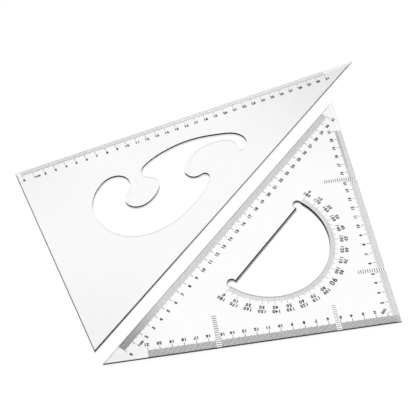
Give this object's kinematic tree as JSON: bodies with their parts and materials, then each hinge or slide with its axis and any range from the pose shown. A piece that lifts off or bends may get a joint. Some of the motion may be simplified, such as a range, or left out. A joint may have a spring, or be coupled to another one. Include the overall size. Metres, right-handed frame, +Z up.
{
  "type": "drafting triangle",
  "caption": "Clear drafting set squares with printed centimetre scales: a 45 degree square with a protractor cut-out beside a 30/60 degree square with a French-curve cut-out.",
  "frame": {"origin": "middle of the pair's outline, on the surface that the squares lie on", "axes": "+X along both hypotenuses, from the 60 degree corner to the 30 degree corner; +Y from the 45 degree square to the 30/60 degree square; +Z up, out of the printed faces"},
  "size_m": [0.408, 0.3616, 0.0021],
  "materials": {
    "clear_sheet": "clear and polished",
    "black_ink": "screen printed"
  },
  "bodies": {
    "square_45": {"square_45_plate": "clear_sheet", "square_45_hypotenuse_scale": "black_ink", "square_45_plain_leg_scale": "black_ink", "square_45_bevelled_leg_scale": "black_ink", "square_45_protractor_scale": "black_ink", "square_45_near_gauges": "black_ink", "square_45_far_gauges": "black_ink"},
    "square_30_60": {"square_30_60_plate": "clear_sheet", "square_30_60_long_leg_scale": "black_ink"}
  },
  "joints": [
    {"name": "parallel_slide", "type": "slide", "parent": "square_45", "child": "square_30_60", "axis": [1, 0, 0], "range_m": [-0.15, 0.15]}
  ]
}
